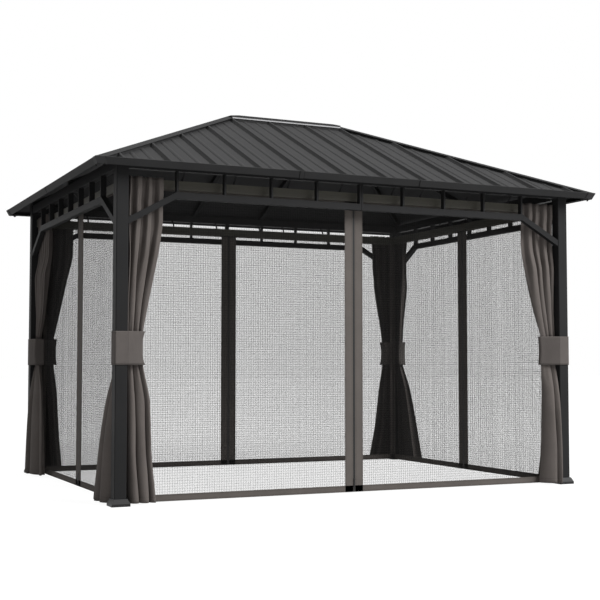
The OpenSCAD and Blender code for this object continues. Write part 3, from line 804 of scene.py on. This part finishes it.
def make_net_panel(side, half, low, high):
    """One net panel: heavy and fine yarns in one mesh, standing for the CAD net."""
    axis, sign, _ = NETS[side]
    heavy = yarn_boxes(low, high, NET_PITCH, NET_YARN, axis, sign)
    fine = yarn_boxes(low, high, FINE_PITCH, FINE_YARN, axis, sign)
    points, faces = boxes(np.concatenate([heavy[0], fine[0]]), np.concatenate([heavy[1], fine[1]]))
    piece = make_piece(f"{side}_net_{half}_panel", points, [faces], net_thread, smooth=False)
    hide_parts(side + "_net")
    return piece


def make_net_bands(side, half, low, high, zip_end):
    """Bands sewn round a panel: bottom, top, along the zip and along the post."""
    axis, sign, _ = NETS[side]
    run = np.eye(3)[axis]
    out = np.eye(3)[1 - axis] * sign
    post_end = low if zip_end == high else high
    inward = 1.0 if zip_end == low else -1.0
    zip_mid = zip_end + inward * BAND_CENTRE / 2
    post_mid = post_end - inward * BAND_POST / 2
    hem_mid = net_bottom + BAND_BOTTOM / 2
    top_mid = net_top - BAND_TOP / 2
    start_z = np.array([hem_mid, top_mid, net_bottom, net_bottom])
    end_z = np.array([hem_mid, top_mid, net_top, net_top])
    start = net_points(np.array([low, low, zip_mid, post_mid]), 0.0, start_z, axis, sign)
    end = net_points(np.array([high, high, zip_mid, post_mid]), 0.0, end_z, axis, sign)
    across = [UP, UP, run, run]
    width = [BAND_BOTTOM, BAND_TOP, BAND_CENTRE, BAND_POST]
    points, faces, uv = tapes(start, end, across, [out] * len(width), width, BAND_THICK)
    return make_piece(f"{side}_net_{half}_bands", points, faces, band_cloth, uv, smooth=False)


def make_zip(side):
    """Zip of a net: two narrow tapes with two rows of teeth that mesh, and a slider with its tab."""
    axis, sign, at = NETS[side]
    tooth_z = np.arange(net_bottom + TEETH_FROM_HEM, net_top - TEETH_FROM_TOP, ZIP_PITCH)
    row = np.arange(len(tooth_z)) % 2 * 2 - 1
    long_half, deep_half, tall_half = ZIP_TOOTH / 2
    middle = at + row * long_half * TEETH_MESH
    low = net_points(middle - long_half, -deep_half, tooth_z - tall_half, axis, sign)
    high = net_points(middle + long_half, deep_half, tooth_z + tall_half, axis, sign)
    slider_z = net_bottom + SLIDER_UP
    slider_low = net_points(at - SLIDER_HALF, SLIDER_BACK, slider_z + SLIDER_LOW, axis, sign)
    slider_high = net_points(at + SLIDER_HALF, SLIDER_FRONT, slider_z + SLIDER_HIGH, axis, sign)
    points, faces = boxes(np.concatenate([low, slider_low]), np.concatenate([high, slider_high]))
    teeth = make_piece(f"{side}_zip_teeth", points, [faces], zip_finish, smooth=False)
    run = np.eye(3)[axis]
    out = np.eye(3)[1 - axis] * sign
    mid = at + np.array(BOTH) * ZIP_TAPE / 2
    start = net_points(mid, 0.0, net_bottom, axis, sign)
    end = net_points(mid, 0.0, net_top, axis, sign)
    points, faces, uv = tapes(start, end, [run, run], [out, out], [ZIP_TAPE, ZIP_TAPE], ZIP_TAPE_T)
    tape = make_piece(f"{side}_zip_tape", points, faces, zip_finish, uv, smooth=False)
    return teeth, tape


def make_nets():
    """Both panels of each net with their bands and the zip between them.
    """
    for side, (axis, _, zip_at) in NETS.items():
        reach = net_reach[axis]
        before, after = zip_at - ZIP_GAP / 2, zip_at + ZIP_GAP / 2
        teeth, tape = make_zip(side)
        for half, low, high, zip_end in (("first", -reach, before, before), ("second", after, reach, after)):
            panel = make_net_panel(side, half, low, high)
            bands = make_net_bands(side, half, low, high, zip_end)


# Roof fittings

# Corner covers, sleeves and joints of the fascias, with the places of sleeves and joints along each side
COVER_W = 0.060
COVER_T = 0.003
SLEEVE_W = 0.028
JOINT_W = 0.006
JOINT_T = 0.0012
LONG_SLEEVES = {"front": -0.477, "back": 0.477}
LONG_JOINTS = {"front": (-0.491, -0.463, 0.375), "back": (0.491, 0.463, -0.375)}
SIDE_JOINTS = {"left": (-0.008,), "right": (0.008,)}
COVER_LIP = 0.0012
COVER_BACK = 0.004
COVER_SHARES = np.array([0.0, 0.33, 0.67, 1.0])
COVER_DOWN = np.concatenate([[-COVER_LIP], FASCIA_H * COVER_SHARES, [FASCIA_H + COVER_LIP]])
COVER_OUT = np.array([-COVER_BACK, *(COVER_T for _ in COVER_SHARES), -COVER_BACK])
TAB_W = 0.016
TAB_DROP = 0.009
TAB_LAP = 0.004
SEAM_PITCH = 0.295
SEAM_W = 0.012
ROLL_UNDER_CAP = 0.018

# Places of the ribs between two seams, as shares of the pitch from the roof's middle
RIB_SHARES = (1 / 6, 5 / 6)

# Left halves of the profiles of a seam and of a rib: across from the middle, and up from the sheet
SEAM_ROLL = ((-0.0210, 0.0), (-0.0180, 0.0016), (-0.0120, 0.0100),
             (-0.0085, 0.0165), (-0.0062, 0.0200), (-0.0028, 0.0208))
RIB_ROLL = ((-0.0175, 0.0), (-0.0130, 0.0018), (-0.0085, 0.0036), (-0.0035, 0.0046))
CLOSURE_IN = 0.007
CLOSURE_T = 0.004
CLOSURE_LAP = 0.001
CLOSURE_FOOT = 0.014

# Upper and lower edge of a ridge strip, a painted highlight: out from the ridge, and up from it
RIDGE_STRIP_HIGH = (0.0391, -0.0125)
RIDGE_STRIP_LOW = (0.0457, -0.0228)
RIDGE_STRIP_T = 0.0012
RIDGE_STRIP_END = CAP_W * 0.45


def fascia_edge(down, out):
    """Distance in from the roof's edge and height of points on the fascia: down its face and out from it."""
    inset = down * math.sin(roof_pitch) - out * math.cos(roof_pitch)
    height = EAVE_Z - down * math.cos(roof_pitch) - out * math.sin(roof_pitch)
    return inset, height


def fascia_points(side, along, down, out):
    """Points on a side's fascia: along the eave, down the fascia's face and out from it."""
    inset, z = fascia_edge(np.asarray(down, float), np.asarray(out, float))
    if side in LONG_JOINTS:
        y = (roof_half[1] - inset) * (-1 if side == "front" else 1)
        return np.stack(np.broadcast_arrays(along, y, z), -1)
    x = (roof_half[0] - inset) * (-1 if side == "left" else 1)
    return np.stack(np.broadcast_arrays(x, along, z), -1)


def make_corner_cover(name, sign_x, sign_y):
    """Cover on a fascia corner: the fascia's face profile carried along an L round the corner."""
    inset, z = fascia_edge(COVER_DOWN, COVER_OUT)
    x = roof_half[0] - inset[:, None] - np.array([COVER_W, 0.0, 0.0])[None]
    y = roof_half[1] - inset[:, None] - np.array([0.0, 0.0, COVER_W])[None]
    points = np.stack([sign_x * x, sign_y * y, z[:, None] + 0 * x], -1)
    faces = [grid_faces(points.shape[0], points.shape[1])]
    piece = make_piece(name, points, faces, cover_paint, smooth=False)
    return thicken(piece, COVER_T / 2)


def make_sleeves():
    """Sleeves over the joints of the long fascias: the fascia's face profile carried a short way along it."""
    edge = np.array([-SLEEVE_W / 2, SLEEVE_W / 2])
    places = [
        fascia_points(side, at + edge[None], COVER_DOWN[:, None], COVER_OUT[:, None] / 2)
        for side, at in LONG_SLEEVES.items()
    ]
    faces = repeat_faces(grid_faces(len(COVER_DOWN), 2), len(places), 2 * len(COVER_DOWN))
    piece = make_piece("fascia_sleeves", np.stack(places), [faces], trim_paint, smooth=False)
    return thicken(piece, COVER_T / 2)


def make_fascia_joints():
    """Near-black lines down the fascias, at corner covers and joints, that paint in the shade of the gaps
    there, and a wider tab below each cover in the same near-black.
    """
    rows = []
    for side, middle in {**LONG_JOINTS, **SIDE_JOINTS}.items():
        axis = 0 if side in LONG_JOINTS else 1
        run = np.eye(3)[axis]
        reach = roof_half[axis] - COVER_W
        face = fascia_points(side, 0.0, 0.0, 1.0) - fascia_points(side, 0.0, 0.0, 0.0)
        lines = [(at, 0.0, FASCIA_H, JOINT_T / 2, JOINT_W) for at in middle]
        for at in (-reach, reach):
            lines.append((at, 0.0, FASCIA_H + TAB_DROP, COVER_T, JOINT_W))
            lines.append((at, FASCIA_H - TAB_LAP, FASCIA_H + TAB_DROP, COVER_T / 2, TAB_W))
        for at, high, low, stand, width in lines:
            start = fascia_points(side, at, high, stand)
            end = fascia_points(side, at, low, stand)
            rows.append((start, end, run, face, width))
    points, faces, uv = tapes(*zip(*rows), JOINT_T)
    return make_piece("fascia_joints", points, faces, gap_shade_finish, uv, smooth=False)


def roof_rolls(profile, places, on_long):
    """Rolled strips up two facing roof sides: a profile of across and height carried up to the caps."""
    across, height = profile[:, 0], profile[:, 1]
    ring = len(profile)
    at = np.concatenate([places, -np.asarray(places)])[:, None] + across[None]
    top = np.maximum(np.abs(at) - (ridge_half if on_long else 0.0), 0.0) + ROLL_UNDER_CAP
    low = np.full_like(at, roll_edge)
    away = np.stack([top, low], 1)
    at = np.stack([at, at], 1)
    z = ridge_z - roof_slope * away - CAP_T - SEAM_H + height[None, None]
    groups = []
    for sign in BOTH:
        order = (at, sign * away, z) if on_long else (sign * (ridge_half + away), at, z)
        groups.append(np.stack(order, -1))
    points = np.concatenate(groups)
    flip = np.arange(len(points)) < len(at) if on_long else np.arange(len(points)) >= len(at)
    walls = grid_faces(2, ring, wrap=True)
    ends = np.stack([np.arange(ring)[::-1], np.arange(ring, 2 * ring)])
    shift = np.arange(len(points)) * 2 * ring
    faces = []
    for group in (walls, ends):
        turned = np.where(flip[:, None, None], group[None, :, ::-1], group[None])
        faces.append((turned + shift[:, None, None]).reshape(-1, group.shape[1]))
    return points.reshape(-1, 3), faces


def mirrored(half):
    """Closed profile from its left half: the half, then its mirror image backwards."""
    half = np.array(half)
    return np.concatenate([half, (half * (-1, 1))[::-1]])


def make_roof_rolls():
    """Rolled edges of the standing seams and soft backs of the small ribs, on all four roof sides."""
    for on_long, name in ((True, "long"), (False, "short")):
        limit = roll_edge + (ridge_half if on_long else 0.0) - SEAM_W
        seams = np.arange(SEAM_PITCH / 2, limit, SEAM_PITCH)
        ribs = np.concatenate([np.arange(share * SEAM_PITCH, limit, SEAM_PITCH) for share in RIB_SHARES])
        for kind, profile, places in (("seam", SEAM_ROLL, seams), ("rib", RIB_ROLL, ribs)):
            points, faces = roof_rolls(mirrored(profile), places, on_long)
            make_piece(f"{name}_side_{kind}_rolls", points, faces, roof_paint, smooth=False)


def make_closures():
    """Closure strips between roof sheets and caps: upright tapes along both sides of hips and ridge."""
    inset = CAP_W - CLOSURE_IN
    aside = inset / math.sqrt(2)
    foot = roof_half[1] - aside - CLOSURE_FOOT
    depth = CAP_T + SEAM_H / 2
    start, end, out = [], [], []
    for sx, sy, side in itertools.product(BOTH, repeat=3):
        top = (0.0, inset) if side > 0 else (inset + aside / 2, aside / 4)
        plan = np.array([top, (foot - side * aside, foot + side * aside)])
        fall = plan[:, 1] if side > 0 else plan[:, 0]
        x, y = sx * (ridge_half + plan[:, 0]), sy * plan[:, 1]
        path = np.stack([x, y, ridge_z - roof_slope * fall - depth], -1)
        start.append(path[0])
        end.append(path[1])
        out.append(np.array([-sx * side, sy * side, 0.0]) / math.sqrt(2))
    for sy in BOTH:
        place = np.array([0.0, sy * inset, ridge_z - roof_slope * inset - depth])
        start.append(place - (ridge_half, 0.0, 0.0))
        end.append(place + (ridge_half, 0.0, 0.0))
        out.append(np.array([0.0, sy, 0.0]))
    across = [UP] * len(start)
    width = [SEAM_H + CLOSURE_LAP] * len(start)
    points, faces, uv = tapes(start, end, across, out, width, CLOSURE_T)
    return make_piece("roof_closures", points, faces, trim_paint, uv, smooth=False)


def make_painted_ridge_highlights():
    """Painted highlight on the lower sides of the ridge cap: a light flat tape along each side, standing for
    a reflection.
    """
    high, low = np.array(RIDGE_STRIP_HIGH), np.array(RIDGE_STRIP_LOW)
    middle = (high + low) / 2
    width = np.linalg.norm(low - high)
    fall = (low - high) / width
    reach = np.array([ridge_half - RIDGE_STRIP_END, 0.0, 0.0])
    start, end, across, out = [], [], [], []
    for sy in BOTH:
        place = np.array([0.0, sy * middle[0], ridge_z + middle[1]])
        start.append(place - reach)
        end.append(place + reach)
        across.append(np.array([0.0, sy * fall[0], fall[1]]))
        out.append(np.array([0.0, -sy * fall[1], fall[0]]))
    points, faces, uv = tapes(start, end, across, out, [width] * len(BOTH), RIDGE_STRIP_T)
    return make_piece("painted_ridge_highlights", points, faces, ridge_highlight_finish, uv, smooth=False)


# Frame fittings

HANGER_W = 0.012
HANGER_T = 0.002
HANGER_LAP = 0.030
HANGER_BEND = 0.006
HANGER_KNEE = 0.35
HANGER_FOOT = 0.75
LONG_HANGERS = (-1.2, -0.86, -0.49, -0.116, 0.27, 0.49, 0.86, 1.2)
SIDE_HANGERS = (-0.78, -0.39, 0.0, 0.39, 0.78)

# Curtain hooks: width, path out from the post's inner plane and up from the rail, and places from the post
GLIDER_W = 0.006
GLIDER_OUT = np.array([-0.010, -0.010, -0.002, 0.010, 0.010])
GLIDER_UP = np.array([0.001, 0.007, 0.010, 0.006, -0.012])
GLIDER_PLACES = np.linspace(0.03, 0.22, 7)


def bent_strips(out, up, places, axis, face, base_z, width):
    """Bent strips on two facing sides: a path out from a face and up from a height, carried across."""
    edge = np.array([-width / 2, width / 2])
    at = np.asarray(places)[:, None, None] + edge[None, None] + 0 * out[None, :, None]
    across = np.broadcast_to((face + out)[None, :, None], at.shape)
    z = np.broadcast_to((base_z + up)[None, :, None], at.shape)
    both = []
    for sign in BOTH:
        order = (at, sign * across, z) if axis == 0 else (sign * across, at, z)
        both.append(np.stack(order, -1).reshape(-1, 3))
    return np.concatenate(both)


def make_strips(name, groups, steps, slot):
    """One piece of bent strips with their thickness, in the finish of a slot."""
    points = np.concatenate(groups)
    count = len(points) // (2 * steps)
    faces = repeat_faces(grid_faces(steps, 2), count, 2 * steps)
    piece = make_piece(name, points, [faces], FINISHES[slot], smooth=False)
    return thicken(piece, HANGER_T)


def make_hangers():
    """Hangers from the top beams to the curtain rails: strips bent down, in and down."""
    drop = beam_low[2] - header_high[2]
    beam_gap = beam_low[1] - post_inner[1]
    to_rail = -beam_gap - header_depth / 2
    inward = np.array([0.0, 0.0, -beam_gap / 2, to_rail, to_rail])
    height = np.array([HANGER_LAP, HANGER_BEND, -drop * HANGER_KNEE, -drop * HANGER_FOOT, -drop])
    groups = [
        bent_strips(inward, height, places, axis, face - HANGER_T / 2, beam_low[2], HANGER_W)
        for axis, places, face in ((0, LONG_HANGERS, beam_low[1]), (1, SIDE_HANGERS, side_beam_low[0]))
    ]
    return make_strips("curtain_rail_hangers", groups, len(inward), "frame_paint")


def make_gliders():
    """Hooks of the curtains: small strips over the top of the curtain rails and down into the cloth."""
    groups = []
    for axis in (0, 1):
        from_post = post_inner[axis] - GLIDER_PLACES
        places = np.concatenate([from_post, -from_post])
        face = post_inner[1 - axis]
        groups.append(bent_strips(GLIDER_OUT, GLIDER_UP, places, axis, face, header_high[2], GLIDER_W))
    return make_strips("curtain_gliders", groups, len(GLIDER_OUT), "track_aluminium")


# Screw heads: radius, height and the shares of both up the dome; the way in from the end of a brace or rail,
# and the place up the brace as a share of its rise and a lift
SCREW_R = 0.0055
SCREW_H = 0.0032
SCREW_STEPS = 10
SCREW_OUT = np.array([1.0, 0.95, 0.65, 0.12])
SCREW_UP = np.array([0.0, 0.45, 0.8, 1.0])
SCREW_IN = 0.03
SCREW_SHARE = 0.16
SCREW_LIFT = 0.033


def screw_heads(centres, normals):
    """Domed heads: rings of falling radius and rising height about each level normal, with a flat top."""
    centres = np.array(centres)[:, None, None]
    normals = np.array(normals)[:, None, None]
    side = np.cross(UP, normals)
    other = np.cross(normals, side)
    angle = (np.arange(SCREW_STEPS) * 2 * np.pi / SCREW_STEPS)[None, None, :, None]
    out = SCREW_R * SCREW_OUT[None, :, None, None]
    rise = SCREW_H * SCREW_UP[None, :, None, None]
    points = centres + out * (np.cos(angle) * side + np.sin(angle) * other) + rise * normals
    rings = len(SCREW_UP)
    count = rings * SCREW_STEPS
    walls = repeat_faces(grid_faces(rings, SCREW_STEPS, wrap=True), len(centres), count)
    tops = repeat_faces(np.arange(count - SCREW_STEPS, count)[None], len(centres), count)
    return points.reshape(-1, 3), [walls, tops]


def make_screws():
    """Screw heads on the inner faces of the braces, at the posts and at the rails."""
    low_z = brace_z + (rail_low[2] - brace_z) * SCREW_SHARE + SCREW_LIFT
    high_z = (rail_low[2] + rail_high[2]) / 2
    long_spots = ((post_inner[0], low_z), (rail_high[0], high_z))
    short_spots = ((post_inner[1], low_z), (side_rail_high[1], high_z))
    centres, normals = [], []
    for sx, sy in itertools.product(BOTH, repeat=2):
        for end, z in long_spots:
            centres.append((sx * (end - SCREW_IN), sy * rail_low[1], z))
            normals.append((0.0, -sy, 0.0))
        for end, z in short_spots:
            centres.append((sx * side_rail_low[0], sy * (end - SCREW_IN), z))
            normals.append((-sx, 0.0, 0.0))
    points, faces = screw_heads(centres, normals)
    return make_piece("brace_screws", points, faces, screw_finish)


# Scene

AIM_AT = np.array([0.0, 0.0, 1.2])
KEY_AT = (7.2, -9.3, 10.3)
KEY_SIZE = 9.0
KEY_POWER = 3150.0
BACK_AT = (-3.0, 5.0, 9.2)
BACK_SIZE = 6.0
BACK_POWER = 230.0
AMBIENT = 0.38
FLOOR_HALF = 60.0
FLOOR_TONE = 0.60
FLOOR_SEEN = 0.14
FLOOR_LIFT = 0.94
FLOOR_FAR_LIFT = 1.0
FLOOR_FADE = (3.0, 7.0)


def area_light(name, at, size, power):
    """Soft square lamp that looks at the middle of the gazebo."""
    data = bpy.data.lights.new(name, "AREA")
    data.shape = "SQUARE"
    data.size = size
    data.energy = power
    lamp = bpy.data.objects.new(name, data)
    lamp.location = at
    aim = AIM_AT - np.array(at)
    turn = math.atan2(aim[0], -aim[1])
    lean = math.atan2(math.hypot(aim[0], aim[1]), -aim[2])
    lamp.rotation_euler = (lean, 0.0, turn + math.pi)
    bpy.context.scene.collection.objects.link(lamp)


def seen_rays(tree):
    """One where a ray comes from the camera, a mirror or glass, and nought elsewhere."""
    path = add_node(tree, "ShaderNodeLightPath").outputs
    total = math_node(tree, "ADD", path["Is Camera Ray"], path["Is Glossy Ray"])
    return math_node(tree, "MINIMUM", math_node(tree, "ADD", total, path["Is Transmission Ray"]), 1.0)


def make_world():
    """White background for rays that are seen, plain grey light for the rest."""
    world = bpy.data.worlds.new("studio")
    bpy.context.scene.world = world
    world.use_nodes = True
    tree = world.node_tree
    back = tree.nodes["Background"]
    back.inputs["Color"].default_value = (1.0, 1.0, 1.0, 1.0)
    tree.links.new(span(tree, seen_rays(tree), AMBIENT, 1.0), back.inputs["Strength"])


def make_floor():
    """Pale floor that keeps a soft shadow and fades to white with the distance, for rays that are seen."""
    mesh = bpy.data.meshes.new("floor")
    corners = [(x * FLOOR_HALF, y * FLOOR_HALF, 0) for x, y in ((-1, -1), (1, -1), (1, 1), (-1, 1))]
    mesh.from_pydata(corners, [], [(0, 1, 2, 3)])
    floor = bpy.data.objects.new("floor", mesh)
    bpy.context.scene.collection.objects.link(floor)
    material = bpy.data.materials.new("pale floor")
    material.use_nodes = True
    tree = material.node_tree
    tree.nodes.clear()
    seen = seen_rays(tree)
    tone = span(tree, seen, FLOOR_TONE, FLOOR_SEEN)
    matt = add_node(tree, "ShaderNodeBsdfDiffuse", {"Color": tone})
    glow = add_node(tree, "ShaderNodeEmission")
    where = add_node(tree, "ShaderNodeTexCoord").outputs["Object"]
    away = add_node(tree, "ShaderNodeVectorMath", {"Vector": where}, operation="LENGTH").outputs["Value"]
    near, far = FLOOR_FADE
    limits = {"From Min": near, "From Max": far, "To Min": FLOOR_LIFT, "To Max": FLOOR_FAR_LIFT}
    fade = add_node(tree, "ShaderNodeMapRange", {"Value": away}, limits, interpolation_type="SMOOTHSTEP")
    tree.links.new(math_node(tree, "MULTIPLY", seen, fade.outputs["Result"]), glow.inputs["Strength"])
    both = add_node(tree, "ShaderNodeAddShader")
    tree.links.new(matt.outputs[0], both.inputs[0])
    tree.links.new(glow.outputs[0], both.inputs[1])
    out = add_node(tree, "ShaderNodeOutputMaterial")
    tree.links.new(both.outputs[0], out.inputs["Surface"])
    mesh.materials.append(material)


def make_camera():
    """Camera at the photograph's place."""
    data = bpy.data.cameras.new("camera")
    data.lens = CAMERA_LENS
    data.sensor_width = CAMERA_SENSOR
    camera = bpy.data.objects.new("camera", data)
    camera.location = CAMERA_AT
    camera.rotation_euler = (math.pi / 2 + CAMERA_PITCH, 0.0, -CAMERA_YAW)
    bpy.context.scene.collection.objects.link(camera)
    bpy.context.scene.camera = camera


finish_nodes()
for curtain_name, curtain_spec in CURTAINS.items():
    make_curtain(curtain_name, curtain_spec)
for corner_x, corner_y in ((-1, -1), (1, -1), (-1, 1), (1, 1)):
    corner_name = corner_label(corner_x, corner_y)
    make_corner_cover(corner_name + "_fascia_cover", corner_x, corner_y)
for tie_spec in TIES:
    make_tie(tie_spec)
make_nets()
make_roof_rolls()
make_sleeves()
make_fascia_joints()
make_closures()
# Light strips on the ridge cap that paint in its highlight
make_painted_ridge_highlights()
make_hangers()
make_gliders()
make_screws()

make_camera()
make_world()
make_floor()
area_light("key", KEY_AT, KEY_SIZE, KEY_POWER)
area_light("back light", BACK_AT, BACK_SIZE, BACK_POWER)
bpy.context.scene.view_settings.view_transform = "Standard"
